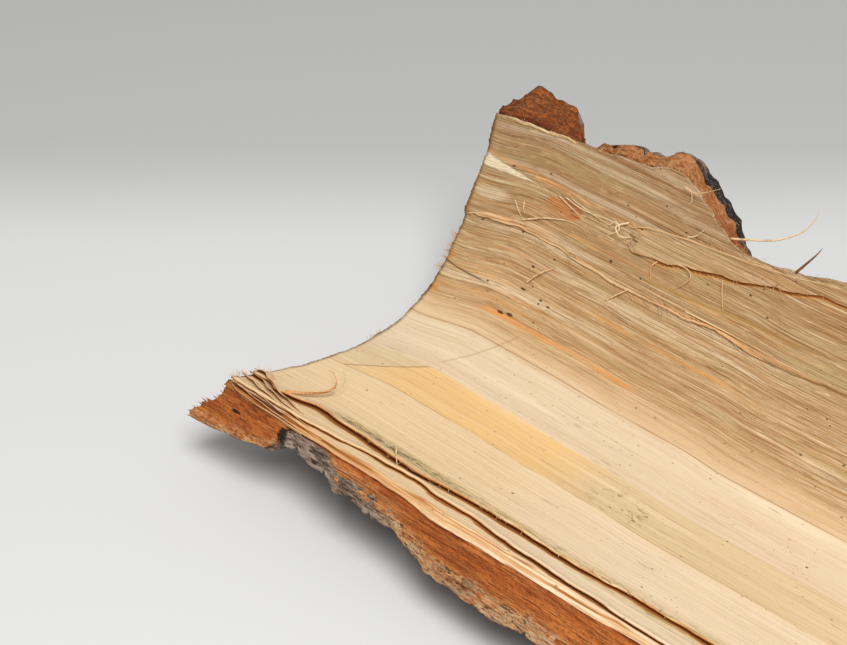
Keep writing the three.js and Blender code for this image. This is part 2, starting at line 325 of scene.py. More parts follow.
class Shade:
    """A socket of a material. Python sums on it add Math nodes."""

    def __init__(self, tree, socket=None):
        self.tree, self.socket = tree, socket

    def node(self, kind, settings, values, output=0):
        """Add a node: its settings first, then the values or links of its sockets."""
        made = self.tree.nodes.new(kind)
        for name, setting in settings.items():
            if name == "stops":
                for at, colour in setting[1:]:
                    made.color_ramp.elements.new(at)
                made.color_ramp.elements.remove(made.color_ramp.elements[-1])
                for stop, (at, colour) in zip(made.color_ramp.elements, setting):
                    stop.position, stop.color = at, colour
            else:
                setattr(made, name, setting)
        for name, value in values.items():
            socket = self.find(made.inputs, name)
            if isinstance(value, Shade):
                self.tree.links.new(value.socket, socket)
            else:
                socket.default_value = value
        return Shade(self.tree, self.find(made.outputs, output))

    def find(self, sockets, name):
        """A socket by its place, or by its identifier or the name shown."""
        if isinstance(name, int):
            return sockets[name]
        return {socket.identifier: socket for socket in sockets}.get(name) or sockets[name]

    def maths(self, operation, *values):
        return self.node("ShaderNodeMath", {"operation": operation}, dict(enumerate(values)))

    def __add__(self, other):
        return self.maths("ADD", self, other)

    def __sub__(self, other):
        return self.maths("SUBTRACT", self, other)

    def __rsub__(self, other):
        return self.maths("SUBTRACT", other, self)

    def __mul__(self, other):
        return self.maths("MULTIPLY", self, other)

    def __truediv__(self, other):
        return self.maths("DIVIDE", self, other)

    __radd__, __rmul__ = __add__, __mul__

    def near(self, at, wide):
        """1 where the value is at a place, falling to 0 at a distance from it."""
        return self.maths("ABSOLUTE", self - at).over(wide, 0)

    def over(self, low, high):
        """0 at low, 1 at high, and smooth between."""
        limits = {"Value": self, "From Min": low, "From Max": high}
        return self.node("ShaderNodeMapRange", {"interpolation_type": "SMOOTHSTEP"}, limits)

    def between(self, low_colour, high_colour):
        """One colour where the value is 0, another where it is 1, and a blend between."""
        ends = [end if isinstance(end, Shade) else light(end) for end in (low_colour, high_colour)]
        values = {"Factor_Float": self, "A_Color": ends[0], "B_Color": ends[1]}
        return self.node("ShaderNodeMix", {"data_type": "RGBA"}, values, "Result_Color")

    def mark(self, name, output="Fac"):
        return self.node("ShaderNodeAttribute", {"attribute_name": name}, {}, output)

    def marks(self):
        """Places along, across the grain and deep, with the relief and the stain marked on the points."""
        slab = self.mark("slab", "Vector")
        places = (self.node("ShaderNodeSeparateXYZ", {}, {0: slab}, way) for way in range(3))
        return *places, self.mark("relief"), self.mark("stain")

    def cells(self, size, seed):
        """The place on the slab in cells of a size in millimetres along, across and deep."""
        start = [seed, seed * 1.7, seed * 2.3]
        scaled = {0: self.mark("slab", "Vector"), 1: [1 / mm for mm in size], 2: start}
        return self.node("ShaderNodeVectorMath", {"operation": "MULTIPLY_ADD"}, scaled)

    def noise(self, size, seed, detail=2.0, distortion=0.0):
        """Noise from 0 to 1 in blotches of a size in millimetres."""
        values = {"Vector": self.cells(size, seed), "Scale": 1, "Detail": detail, "Distortion": distortion}
        return self.node("ShaderNodeTexNoise", {}, values)

    def specks(self, size, seed, most):
        """Round specks, one to a cell. Each has its own size up to most, in cells."""
        values = {"Vector": self.cells(size, seed), "Scale": 1}
        far = self.node("ShaderNodeTexVoronoi", {}, values, "Distance")
        drawn = self.node("ShaderNodeTexVoronoi", {}, values, "Color")
        lot = self.node("ShaderNodeSeparateColor", {}, {"Color": drawn}, "Red")
        return (lot.over(0.55, 1) * most - far).over(0, 0.04)

    def stain(self, colour, amount):
        """This colour, covered by another as far as amount says."""
        return amount.between(self, colour)

    def coats(self, *coats):
        """This colour under one stain after another, each given as its colour and its amount."""
        covered = self
        for colour, amount in coats:
            covered = covered.stain(colour, amount)
        return covered


BARK_SHEEN = 0.25


def finish(material, colour, roughness, height, distance):
    """Give a material its colour, roughness and relief, whose depth is in metres."""
    bump = colour.node("ShaderNodeBump", {}, {"Height": height, "Strength": 1, "Distance": distance})
    shader = material.node_tree.nodes["Principled BSDF"]
    for name, value in (("Base Color", colour), ("Roughness", roughness), ("Normal", bump)):
        material.node_tree.links.new(value.socket, shader.inputs[name])
    shader.inputs["Specular IOR Level"].default_value = BARK_SHEEN


def new_material(name):
    material = bpy.data.materials.new(name)
    material.use_nodes = True
    return material, Shade(material.node_tree)


CREAM, SAND, PALE_TAN = (230, 202, 160), (215, 192, 160), (208, 176, 136)
TAN, WALL_TAN, DULL_TAN = (194, 159, 114), (180, 148, 105), (172, 134, 93)
YELLOW, FADED_YELLOW = (230, 189, 128), (213, 188, 145)
ORANGE, BROWN, DARK_BROWN = (222, 146, 72), (146, 98, 50), (66, 40, 20)
MOULD, OLD_END = (120, 108, 66), (160, 116, 60)
SLIT_BROWN = (150, 86, 30)
ACROSS_ALL = 230
# The tans of the far wall are its own colour and partly painted shade, as the steep wall is less lit.
ZONES = [
    (0, CREAM), (60, CREAM), (90, SAND), (116, SAND), (119, PALE_TAN), (132, TAN), (150, TAN),
    (172, WALL_TAN), (190, WALL_TAN), (200, DULL_TAN), (230, DULL_TAN),
]

bast_material, bast = new_material("bast")
along, lane, _, relief, hidden = bast.marks()
wander = bast.noise((90, 12, 9), 1)
on_wall = lane.over(116, 140)
far_off = along.over(170, 300)
zone = (lane + 5 * wander - 2.5 + (bast.noise((110, 9, 9), 38) - 0.5) * far_off * 26) / ACROSS_ALL
stops = [(at / ACROSS_ALL, light(shown)) for at, shown in ZONES]
colour = bast.node("ShaderNodeValToRGB", {"stops": stops}, {0: zone})

paler = along.over(90, 180) * lane.over(66, 60) + lane.over(88, 92) * lane.over(118, 112) * 0.15
colour = colour.stain((232, 210, 182), paler * 0.6)

# The yellow stripe of the trough, which fades towards the broken end and is dull beyond a brown line.
STRIPE_FROM, STRIPE_TO = 64.2, 90.6
in_stripe = lane.over(STRIPE_FROM, STRIPE_FROM + 0.7) * lane.over(STRIPE_TO, STRIPE_TO - 1.2)
stripe = in_stripe * (1 - 0.8 * along.over(200, 310))
seen_lines = 1 - along.over(190, 270)
from_line = along - lane + 56
yellow = (along.over(150, 105) * from_line.over(-1, 1)).between(FADED_YELLOW, YELLOW)
colour = colour.coats(
    (yellow, stripe * (0.45 + 0.5 * along.over(2, 40) + 0.05 * wander)),
    (BROWN, from_line.near(0, 1.1) * stripe * 0.75),
)
worn = bast.noise((30, 3, 3), 2).over(0.3, 0.55)
colour = colour.stain(BROWN, lane.near(64.5, 0.5) * (worn + along.over(60, 20)).over(0, 1) * seen_lines * 0.6)
beside = bast.noise((40, 3, 3), 3).over(0.25, 0.5) * seen_lines
colour = colour.stain(BROWN, lane.near(118.2, 0.6) * beside * 0.7)

# Fine and broad streaks with the grain, strongest on the far wall.
broad = bast.noise((150, 6, 5), 4)
fine = bast.noise((56, 0.85, 0.85), 5, 3)
hairs = bast.noise((16, 0.42, 0.42), 6, 2)
dashes = bast.noise((8, 0.6, 0.6), 39, 2)
below_head = lane.over(196, 192)
past_knots = bast.maths("MAXIMUM", along - 60, 0)
above_head = (lane - 190.5 - 0.13 * past_knots).over(0, 2.5)
wrinkled = on_wall * (1 - 0.55 * above_head)
colour = colour.coats(
    ((156, 122, 88), above_head * 0.35),
    ((202, 170, 130), bast.noise((7, 3.5, 4), 46, 4).over(0.53, 0.68) * above_head * 0.4),
    ((126, 94, 60), bast.noise((4.5, 2.4, 3), 47, 4).over(0.54, 0.68) * above_head * 0.4),
    ((206, 164, 112), broad.over(0.5, 0.75) * (0.16 + 0.18 * on_wall)),
    ((242, 222, 190), broad.over(0.46, 0.3) * (0.3 + 0.1 * on_wall)),
    (BROWN, fine.over(0.52, 0.72) * (0.13 + 0.5 * wrinkled)),
    ((230, 204, 162), fine.over(0.46, 0.32) * (0.2 + 0.32 * wrinkled)),
    (BROWN, hairs.over(0.54, 0.74) * (0.12 + 0.44 * wrinkled)),
    ((118, 80, 44), dashes.over(0.62, 0.74) * wrinkled * 0.55),
    ((236, 210, 168), dashes.over(0.38, 0.28) * wrinkled * 0.5),
)
seam = bast.noise((240, 3.4, 3.4), 27, 3)
colour = colour.coats(
    (BROWN, seam.near(0.5, 0.022) * (0.12 + 0.5 * wrinkled)),
    (BROWN, bast.noise((130, 1.9, 2), 28, 3).near(0.5, 0.03) * (0.08 + 0.4 * wrinkled)),
    (ORANGE, bast.noise((70, 3.2, 4), 7).over(0.57, 0.72) * on_wall * below_head * 0.22),
    ((176, 160, 106), bast.noise((70, 8, 8), 8).over(0.56, 0.72) * on_wall * 0.35),
    # Painted shade in the low places of the relief, and a painted highlight on its raised places.
    (BROWN, relief.over(-0.12, -0.75) * 0.5),
    ((232, 204, 160), relief.over(0.1, 0.9) * 0.5),
)

# Stains: an orange streak, mould in the stripe and behind the torn edge, and insect specks.
streak = lane.near(130.6, 2.2) * along.over(24, 38) * along.over(122, 112)
colour = colour.stain(ORANGE, streak * bast.noise((22, 2, 2), 9).over(0.25, 0.5) * 0.85)
spot = (along.near(156, 26) * lane.near(74, 14)).over(0.05, 0.7)
colour = colour.stain(FADED_YELLOW, spot * 0.5)
blots = bast.noise((5.3, 3.1, 4), 10, 5, 1.6) + 0.5 * bast.noise((11, 7, 5), 17, 2, 1)
colour = colour.stain(MOULD, spot * blots.over(0.76, 0.98) * 0.85)
behind_edge = lane.near(20, 8) * along.over(30, 60)
flaking = lane.near(19.8, 6.5) * along.over(36, 52) * along.over(130, 95)
colour = colour.coats(
    ((216, 184, 120), behind_edge * bast.noise((26, 3, 3), 12).over(0.4, 0.6) * 0.6),
    (MOULD, behind_edge * bast.noise((9, 1.9, 2), 11, 5, 1.2).over(0.48, 0.64) * 0.65),
    (MOULD, flaking * bast.noise((5, 1.3, 1.3), 36, 4, 0.8).over(0.45, 0.55) * 0.95),
    (DARK_BROWN, flaking * bast.noise((3.4, 0.8, 0.8), 37, 3, 0.8).over(0.58, 0.66) * 0.6),
)

# What the far wall shows between its torn sheets: a pale torn wedge, orange lines and an orange patch.
from_wedge = bast.maths("ABSOLUTE", lane + 0.18 * along - 197.6 + 0.8 * bast.noise((9, 4, 4), 25))
wedge = (3.0 - 0.09 * along - from_wedge + 1.2 * bast.noise((5, 0.9, 0.9), 30) - 0.6).over(0, 0.5)
colour = colour.coats(
    (ORANGE, (lane + 0.18 * along - 201.2).near(0, 1.1) * along.over(36, 28) * 0.5),
    ((226, 208, 174), wedge * (0.3 + 1.1 * bast.noise((9, 0.8, 0.8), 26)).over(0.3, 0.9)),
)
pale_sheet = (lane.near(182.5, 4.5) * along.near(10, 17) + 0.6 * fine - 0.3).over(0.1, 0.6)
colour = colour.stain((226, 202, 166), pale_sheet * 0.55)
at_saw = along.over(12, 2) * bast.noise((14, 5, 5), 29).over(0.4, 0.6)
colour = colour.stain((190, 126, 60), at_saw * (lane.near(133.5, 5) + lane.near(149, 4)) * 0.9)
split = (lane + 0.19 * along - 146.6).near(0, 0.7) * along.over(30, 20)
colour = colour.stain(DARK_BROWN, split * 0.8)
line = lane.near(194.2, 1.7) * along.over(26, 34) * along.over(100, 84)
threads = (fine + hairs).over(1.1, 0.92)
torn_line = line.over(0.1, 0.7) * bast.noise((14, 2, 2), 18).over(0.3, 0.5)
colour = colour.coats(
    ((216, 146, 78), torn_line * (0.25 + 0.75 * threads) * 0.8),
    ((238, 206, 156), torn_line * dashes.over(0.5, 0.4) * 0.5),
)
patch = (lane.near(187, 5.5) * along.near(50, 15) + 0.5 * bast.noise((7, 3, 3), 19) - 0.25).over(0.1, 0.35)
colour = colour.coats(
    ((190, 112, 46), patch * (0.2 + 0.8 * threads) * 0.85),
    ((118, 66, 26), patch * along.near(58, 8).over(0, 0.6) * dashes.over(0.5, 0.6) * 0.8),
)
flush_run = lane.near(176, 9) * along.over(20, 45) * along.over(185, 140)
flush = bast.noise((34, 3.6, 4), 20).over(0.5, 0.62) * flush_run
colour = colour.stain((216, 164, 106), flush * 0.5)
drawn = bast.noise((26, 2, 2), 45).over(0.3, 0.5)
brown_line = (lane - 0.075 * along - 167.6).near(0, 1.1) * along.over(92, 104) * along.over(200, 165)
colour = colour.stain((166, 124, 54), brown_line * drawn * 0.75)
tan_line = lane.near(151, 1.3) * along.over(78, 92) * along.over(170, 145)
colour = colour.stain((210, 148, 76), tan_line * drawn * 0.7)

# Insect specks and dust lie in drifts, and there are a few longer holes, each given as along, lane, half its
# length and half its width.
HOLES = [
    (40, 131.8, 1.9, 0.7), (45, 132.8, 2, 0.8), (45, 145.8, 1.7, 0.6), (45, 156.8, 1, 0.6),
    (10, 169.6, 0.7, 0.5), (33, 168.9, 0.8, 0.6), (54, 164.1, 0.7, 0.5), (26, 142.8, 0.7, 0.5),
    (56, 145.1, 1, 0.5), (61, 144.1, 1, 0.5), (82, 175.5, 0.9, 0.7), (150, 190, 0.7, 0.5),
]


def oval(first, second, middle, half):
    """The square of the distance from the middle of an oval, which is 1 on its edge."""
    away, aside = (first - middle[0]) / half[0], (second - middle[1]) / half[1]
    return away * away + aside * aside


dust = bast.noise((60, 26, 20), 13).over(0.38, 0.6)
colour = colour.stain(DARK_BROWN, bast.specks((6.2, 4.4, 6), 14, 0.13) * (0.45 + 0.55 * dust) * 0.9)
smudge = bast.noise((13, 1.7, 2), 49, 4).over(0.62, 0.7) * bast.noise((50, 22, 20), 50).over(0.42, 0.58)
colour = colour.coats(
    ((170, 146, 112), smudge * (1 - on_wall) * 0.5),
    (BROWN, bast.specks((4.4, 2.2, 4), 51, 0.16) * dust * (1 - on_wall) * 0.6),
    (DARK_BROWN, bast.specks((8.4, 5.2, 8), 24, 0.12) * (0.2 + 0.8 * on_wall) * 0.85),
)
# The holes are painted dark, as painted shade in them.
for at_along, at_lane, long, wide in HOLES:
    hole = oval(along, lane, (at_along, at_lane), (long, wide)).over(1.2, 0.5)
    colour = colour.stain(DARK_BROWN, hole * 0.9)
faint_line = (along - 0.67 * lane + 29.2).near(0, 1.2) * lane.over(94, 97) * lane.over(128, 125)
colour = colour.coats(
    (BROWN, faint_line * 0.3),
    (BROWN, bast.specks((3.2, 1.5, 3), 15, 0.2) * bast.noise((40, 14, 20), 16).over(0.47, 0.6) * 0.65),
    (OLD_END, along.over(1.6, -0.8) * lane.over(20, 60) * 0.7),
)
growth = bast.noise((60, 34, 0.45), 48, 2)
colour = colour.stain(BROWN, growth.near(0.5, 0.08) * along.over(1.6, 0.2) * 0.6)
# Stains of torn edges, with painted shade under the ribbon and in the gap behind the corner leaves.
torn = hidden + 0.5 * fine - 0.25
colour = colour.coats(
    ((204, 144, 80), torn.over(0.05, 0.5) * 0.75),
    (SLIT_BROWN, torn.over(0.4, 1.0) * 0.9),
    (DARK_BROWN, torn.over(1.15, 1.5) * 0.85),
)
pores = hairs * 0.5 + fine
finish(bast_material, colour, 0.72 + 0.2 * fine, pores * (0.3 + 0.7 * on_wall), 0.0009)

bast_face = layer("bast_face", bast_face_point, (165, 440, 2), hidden=("outer",))
belongs(bast_face, bast_material)

# The lower bast sheets
# Under the face lie older sheets of bast. Each is torn back less than the one above, so they step out along
# the front edge, and where the slab was sawn they have sprung apart.
SECOND_EDGE = [
    (34, 2), (80, 8.5), (100, 10.5), (113, 8.1), (127, 7.8), (162, 3.1), (188, 1.7), (219, 0.4), (345, 1.6),
]
SECOND_DEEP = 1.4, 2.3
SECOND_LIFT, SECOND_LIFT_WIDE = 1.2, 6
THIRD_EDGE = 0.6
THIRD_DEEP = 2.7
FRONT_BREAK = -1
SHEET_HIDDEN = 15


def bast_deep(along):
    """The thickness of the bast."""
    return track(BAST, along)


def second_sheet_point(u, v, w):
    """The sheet just under the face, whose free edge lifts a little."""
    station = LENGTH * u
    edge = torn_edge(SECOND_EDGE, station, 34)
    across = mix(edge, track(TOP_EDGE, station) + SHEET_HIDDEN, v)
    lifted = 0.6 + 0.4 * hills(station / 21, 0.5, 98)
    lift = SECOND_LIFT * ease(1 - (across - edge) / SECOND_LIFT_WIDE) * lifted
    relief = ripples(station, across, (0.12, 50, 2.1, 101), (0.06, 30, 0.8, 102))
    deep = mix(SECOND_DEEP[0] - relief, SECOND_DEEP[1], w) - lift
    along = station + sawn_edge(station, across, deep, 63) - 0.4 + broken_end(station, across, 2)
    behind = across - torn_edge(TOP_EDGE, station, 31)
    stain = ease((behind + 1.7 + ragged(station, 181, 0.9)) / 2)
    return along, across, deep, relief * (1 - w), np.maximum(stain, 0.6 * w)


def third_sheet_point(u, v, w):
    """The thickest sheet, whose broken front slopes down to the red-brown inner bark."""
    station = LENGTH * u
    top_edge = THIRD_EDGE + ragged(station, 37, 0.7)
    low_edge = FRONT_BREAK - 0.5 + ragged(station, 37, 0.7) + ragged(station, 38, 0.4)
    across = mix(mix(top_edge, low_edge, w), track(SECOND_EDGE, station) + SHEET_HIDDEN, v)
    relief = ripples(station, across, (0.14, 55, 2.4, 103), (0.07, 28, 0.9, 104))
    front = ease(1 - v * 12)
    fibres = 0.34 * hills(station / 40, w * 7, 105) + 0.2 * hills(station / 17, w * 13, 106)
    across = across + front * fibres * ease(w * 5) * ease((1 - w) * 5)
    deep = mix(THIRD_DEEP - relief, bast_deep(station) + 0.2, w)
    along = station + sawn_edge(station, across, deep, 65) - 0.6 + broken_end(station, across, 4)
    behind = across - torn_edge(SECOND_EDGE, station, 34)
    stain = ease((behind + 1.7 + ragged(station, 182, 1.2)) / 2.2) * ease((station - 30) / 8)
    slits = 0.9 * ease(1 - np.abs(hills(station / 46, w * 4.3, 183)) / 0.3)
    base = 0.22 + 0.25 * ease((125 - station) / 40)
    open_slits = slits * ease(0.6 + hills(station / 24, w * 3, 185))
    fibrous = base + open_slits + 0.3 * hills(station / 15, w * 12, 184)
    # Painted shade near the sawn corner, at the top of this sheet's front, seen through the gap behind the
    # leaves.
    gap_shade = mix(1.7, 0.8, ease(w * 5 - 1.2)) + 0.3 * hills(station / 7, w * 3, 186)
    torn = np.maximum(fibrous, ease((40 - station) / 8) * gap_shade)
    return along, across, deep, relief * (1 - w) + front * fibres, mix(stain, torn, front)


def bast_body_point(u, v, w):
    """The rest of the bast, seen at the far rim and at both ends."""
    station = LENGTH * u
    edge = track(TOP_EDGE, station) + 2
    rim = torn_edge(RIM, station, 53) - 2
    across = mix(edge, rim, v)
    rough = 0.6 * hills(station / 9, w * 5, 107) + 0.5 * hills(station / 2.5, w * 9, 108)
    across = across + ease(v * 60 - 59) * rough
    inner = mix(TOP_DEEP - 0.1, SECOND_DEEP[1] - 0.1, ease(1 - (across - edge) / 6))
    deep = mix(inner, bast_deep(station) + 0.2, w)
    along = station + sawn_edge(station, across, deep, 67) + broken_end(station, across, deep)
    return along, across, deep, rough, 1.1 * ease(v * 60 - 59) + 0.35 * hills(station / 6, deep / 1.2, 109)


second_sheet = layer("second_sheet", second_sheet_point, (200, 40, 2), hidden=("outer",))
third_sheet = layer("third_sheet", third_sheet_point, (230, 50, 14), hidden=("outer",))
bast_body = layer("bast_body", bast_body_point, (200, 300, 8), hidden=("inner", "outer"))
for sheet in (second_sheet, third_sheet, bast_body):
    belongs(sheet, bast_material)

# The leaves of the corner
# At the sawn corner the sheets of bast have split into thin leaves, which curl up and lie over each other
# like slates. Each leaf is given by where its edge runs, as (along, across, deep).
LEAVES = [
    [(-1.0, 15.4, -2.0), (5, 14.6, -3.4), (12, 11.0, -3.0), (24, 8.2, -1.0), (38, 7.4, 0.8)],
    [(-0.4, 12.0, -0.9), (8, 10.2, -1.6), (17, 6.6, -1.1), (30, 4.8, 0.2), (42, 4.6, 1.8)],
    [(-1.2, 8.8, -0.3), (6, 6.2, -0.9), (16, 3.0, -0.6), (32, 1.4, 0.8), (52, 1.6, 2.6)],
    [(-0.2, 5.8, 0.7), (9, 2.6, 0.5), (19, 0.4, 0.9), (33, -0.4, 2.1), (56, -0.2, 3.4)],
    [(-0.8, 2.8, 1.5), (8, -1.0, 1.5), (18, -2.4, 2.0), (32, -2.0, 3.0), (50, -1.0, 4.4)],
    [(0.8, -0.2, 2.7), (10, -3.2, 3.2), (22, -3.6, 3.7), (36, -2.4, 4.3), (46, -1.4, 4.9)],
]
LEAF_WIDE, LEAF_THICK, LEAF_TUCKS = 7, 0.32, 3.2


def leaf(number, keys):
    """One leaf of the corner. It narrows along the slab, and its inner side tucks in under the leaf above."""
    def point(u, v, w):
        station = mix(keys[0][0], keys[-1][0], u)
        stations, acrosses, deeps = zip(*keys)
        edge = torn_edge(list(zip(stations, acrosses)), station, 191 + number, 0.35)
        wide = LEAF_WIDE * (0.45 + 0.55 * ease((1 - u) * 3))
        across = edge + wide * v
        waves = 0.35 * hills(station / 17, v * 2, 201 + number)
        waves = waves + 0.15 * hills(station / 6, v * 4, 211 + number)
        relief = 0.1 * hills(station / 30, across / 0.9, 221 + number)
        top = track(list(zip(stations, deeps)), station) + LEAF_TUCKS * v + waves * (1 - u) - relief
        end = 0.9 * hills(v * 5, 0.5, 231 + number) + 0.6 * hills(v * 17, 0.5, 241 + number)
        at_edge = 0.5 * ease(1 - v * 9) * (0.6 + 0.8 * hills(station / 9, 0.5, 251 + number))
        stain = at_edge + 0.3 * ease(v * 3 - 1) + 0.5 * w
        return station + end * ease(1 - u * 9), across, top + LEAF_THICK * w, relief * (1 - w), stain
    return layer(f"corner_leaf_{number}", point, (90, 16, 1))


for number, keys in enumerate(LEAVES):
    belongs(leaf(number, keys), bast_material)

# The inner bark
# Red-brown and fibrous, it is the thickest layer. It broke along the front in long steps with the grain, and
# at the sawn corner a tab of it stands out past the bast. At the far rim it stands up in crumbly lumps.
# Its lines along the slab are how the two broken edges lean and how thick the slab is there.
RIM_LEAN = [
    (0, 0.25), (9, 0.49), (15, 0.44), (22, 0.35), (30, 0.32), (36, 0.1), (40, -0.15), (53, -0.5), (58, 0.1),
    (70, 0.25), (88, 0.25), (97, 0.35), (108, 0), (116, 0.03), (127, 0.1), (134, -0.25), (142, -0.4),
    (200, -0.3), (235, 0.2), (260, 0.4), (280, -0.2), (345, 0.1),
]
RIM_THICK = [
    (0, 19), (36, 18), (44, 12), (54, 9), (86, 9), (94, 12), (104, 14), (128, 14), (136, 11), (150, 9),
    (200, 11), (240, 18), (265, 19), (285, 13), (345, 18),
]
FRONT_THICK = [
    (-12, 25.5), (6, 24), (17, 21.5), (28, 19), (35, 17.5), (41, 13), (46, 12.6), (59, 14), (65, 15),
    (71, 18.5), (79, 17), (94, 18.7), (104, 18.7), (112, 21.5), (127, 26), (145, 26), (160, 27.5),
    (172, 26), (205, 26.5), (240, 22), (270, 25), (300, 23), (345, 20),
]
FRONT_LEAN = [
    (0, -0.08), (36, -0.1), (44, 0.12), (62, 0.08), (72, -0.04), (100, 0), (130, -0.05), (215, -0.1),
    (260, -0.25), (300, -0.1), (345, -0.25),
]
TAB_REACH, TAB_WIDE, TAB_FROM, TAB_TO = 12.5, 22, 7, 25
TAB_FADE, TAB_FADE_ACROSS = 26, 9
MIDDLE_THICK = 20
EDGE_BAND = 34
KEEL_ACROSS, KEEL_WIDE, KEEL_DEEP = 112, 20, 5
LANES_ACROSS = 33
RIDGE_CELLS, RIDGE_SWAY, RIDGE_EVERY, RIDGE_STANDS = 3, 7, 38, 1.4
FURROW_DEEP, FURROW_WIDE, FURROW_OPEN = 7, 0.36, 33
CRACK_DEEP, CRACK_EVERY = 2.6, 14
CORK_WRAP = [(35, 0), (40, 1), (58, 1), (66, 0)]
CORK_RIM = [(0, 0), (103, 0), (110, 1), (127, 1), (133, 0.1), (345, 0.3)]
CORK_THICK = [(0, 0.6), (30, 0.8), (40, 5), (62, 5), (75, 4.2), (345, 4.5)]
CORK_WHOLE = 4.2


def cork_thick(along, across):
    """The thickness of the cork, which has mostly come away from the tab and from the lump beside it."""
    torn = np.maximum(ease((34 - across) / 14), ease((across - 194) / 14))
    return mix(CORK_WHOLE, track(CORK_THICK, along), torn)


def plain_thick(along, across):
    """The thickness of the slab from its inner face, without its ridges and furrows."""
    from_front = ease(across / EDGE_BAND)
    to_rim = ease((track(RIM, along) - across) / EDGE_BAND)
    keel = KEEL_DEEP * np.exp(-(((across - KEEL_ACROSS) / KEEL_WIDE) ** 2))
    middle = MIDDLE_THICK + keel + 2 * hills(along / 80, across / 50, 5)
    edged = mix(track(FRONT_THICK, along), middle, from_front)
    return mix(track(RIM_THICK, along), edged, to_rim)


def furrows(along, lane):
    """Ridges of cork with furrows between them, which close in places, and breaks across the ridges."""
    nearest = np.round(lane)
    opened = ease((hills(along / FURROW_OPEN, nearest * 3.7, 7) + 0.8) / 0.5)
    furrow = opened * (1 - ease(np.abs(lane - nearest) / FURROW_WIDE))
    crack = 1 - ease(np.abs(hills(along / CRACK_EVERY, np.floor(lane) * 5.3, 8)) / 0.16)
    return RIDGE_STANDS - FURROW_DEEP * furrow - CRACK_DEEP * crack * (1 - furrow)


def lane_of(v):
    """The place of a share of the slab's width among the ridges, one ridge to a unit."""
    return (v * LANES_ACROSS + 1) / RIDGE_CELLS


def sway(along, v):
    """How far the ridges wander across the slab, away from its two broken edges."""
    inside = ease(v * LANES_ACROSS / 4) * ease((1 - v) * LANES_ACROSS / 4)
    return inside * RIDGE_SWAY * hills(along / RIDGE_EVERY, lane_of(v), 2)


def broken_edges(along, front_share, rim_share):
    """Where the broken front and rim lie across the slab, at shares of the way from the bast to the cork."""
    below_bast = bast_deep(along)
    front_deep = mix(below_bast, track(FRONT_THICK, along), front_share)
    rim_deep = mix(below_bast, track(RIM_THICK, along), rim_share)
    front = FRONT_BREAK + track(FRONT_LEAN, along) * (front_deep - below_bast)
    return front, track(RIM, along) + track(RIM_LEAN, along) * rim_deep


def lumps(u, v, w, seed):
    """Hills in three directions."""
    k = np.floor(w)
    return mix(hills(u, v, seed + 13 * k), hills(u, v, seed + 13 * (k + 1)), ease(w - k))


def rubble(u, v, w, *sizes):
    """A sum of lumps, each given as its height, its length along u, v and w, and its seed."""
    return sum(height * lumps(u / long, v / tall, w / wide, seed) for height, long, tall, wide, seed in sizes)


def fibre_relief(along, turn, deep, seed):
    """The torn, fibrous relief of broken inner bark."""
    steps = rubble(along, deep, turn, (1.1, 34, 3.1, 9, seed), (0.6, 12, 1.7, 4, seed + 1))
    return steps + rubble(along, deep, turn, (0.32, 5, 0.9, 2, seed + 2), (0.16, 2, 0.55, 1, seed + 3))


def tab_share(across, deep):
    """How much of the tab's reach a place has. The tab stands out furthest at its lower front corner."""
    return ease((TAB_WIDE - across) / TAB_FADE_ACROSS) * ease((deep - TAB_FROM) / (TAB_TO - TAB_FROM))


def inner_bark_point(u, v, w):
    station = LENGTH * u
    share = 0.02 + 0.98 * w
    front, rim = broken_edges(station, share, share)
    front = front + 1.4 * track(CORK_WRAP, station) * ease((w - 0.05) / 0.1)
    rim = rim + 0.4 - 1.6 * track(CORK_RIM, station)
    across = mix(front, rim, v) + share * sway(station, v)
    whole = plain_thick(station, across) + furrows(station, lane_of(v)) - cork_thick(station, across)
    low = mix(bast_deep(station) + 0.19, TOP_DEEP, ease(v * 40 - 38.5))
    deep = mix(low, np.maximum(whole, low + 1.5), w)
    rough = fibre_relief(station, across, deep, 111)
    crumbs = rubble(station, deep, across, (0.9, 6, 3.4, 5, 121), (0.7, 2.6, 1.7, 2, 122))
    at_front, at_rim = ease(1 - v * 40), ease(v * 40 - 39)
    body = ease(w * 7)
    across = across - at_front * rough * body + at_rim * (0.6 * rough + crumbs) * body

    in_tab = tab_share(across, deep)
    teeth = ripples(deep, across, (1.8, 3.4, 7, 131), (0.8, 0.7, 1.3, 133))
    teeth = teeth - 3.4 * np.maximum(hills(deep / 1.5, across / 4, 132), 0) ** 1.5
    reach = ease(1 - station / TAB_FADE) * TAB_REACH * in_tab
    sawn = ease(1 - station / 7) * (teeth * (0.15 + 0.85 * in_tab) + 0.8 * (1 - in_tab))
    along = station - reach + sawn + broken_end(station, across, deep)
    return along, across, deep, rough + 0.8 * at_rim * crumbs, w


RUST, DEEP_RED, LIGHT_RUST = (167, 86, 34), (122, 50, 18), (197, 116, 54)
CRUMB_TAN, PIT_BROWN, BLACK_HOLLOW = (204, 158, 108), (80, 36, 16), (26, 16, 12)

inner_material, bark = new_material("inner_bark")
along, lane, deep, relief, outward = bark.marks()
broad = bark.noise((30, 5, 2.6), 21)
fine = bark.noise((14, 1.6, 0.8), 22, 3)
crumb = bark.noise((2.4, 1.8, 1.3), 23, 5)
colour = broad.over(0.38, 0.62).between(LIGHT_RUST, RUST)
colour = colour.coats(
    (DEEP_RED, fine.over(0.5, 0.68) * 0.7),
    (DEEP_RED, outward.over(0.14, 0.03) * bark.noise((20, 9, 9), 24).over(0.35, 0.6) * 0.8),
    (LIGHT_RUST, fine.over(0.44, 0.3) * 0.6),
)
threads = bark.noise((18, 0.8, 0.5), 51, 3)
low_edge = (outward + 0.4 * fine + 0.3 * threads).over(1.02, 1.22) * lane.over(60, 40)
colour = colour.coats(
    (CRUMB_TAN, low_edge * (crumb + threads).over(1.12, 0.92) * 0.85),
    (PIT_BROWN, threads.near(0.5, 0.03) * 0.55),
    ((216, 128, 60), threads.over(0.58, 0.7) * 0.45),
)
at_far_rim = lane.over(196, 214)
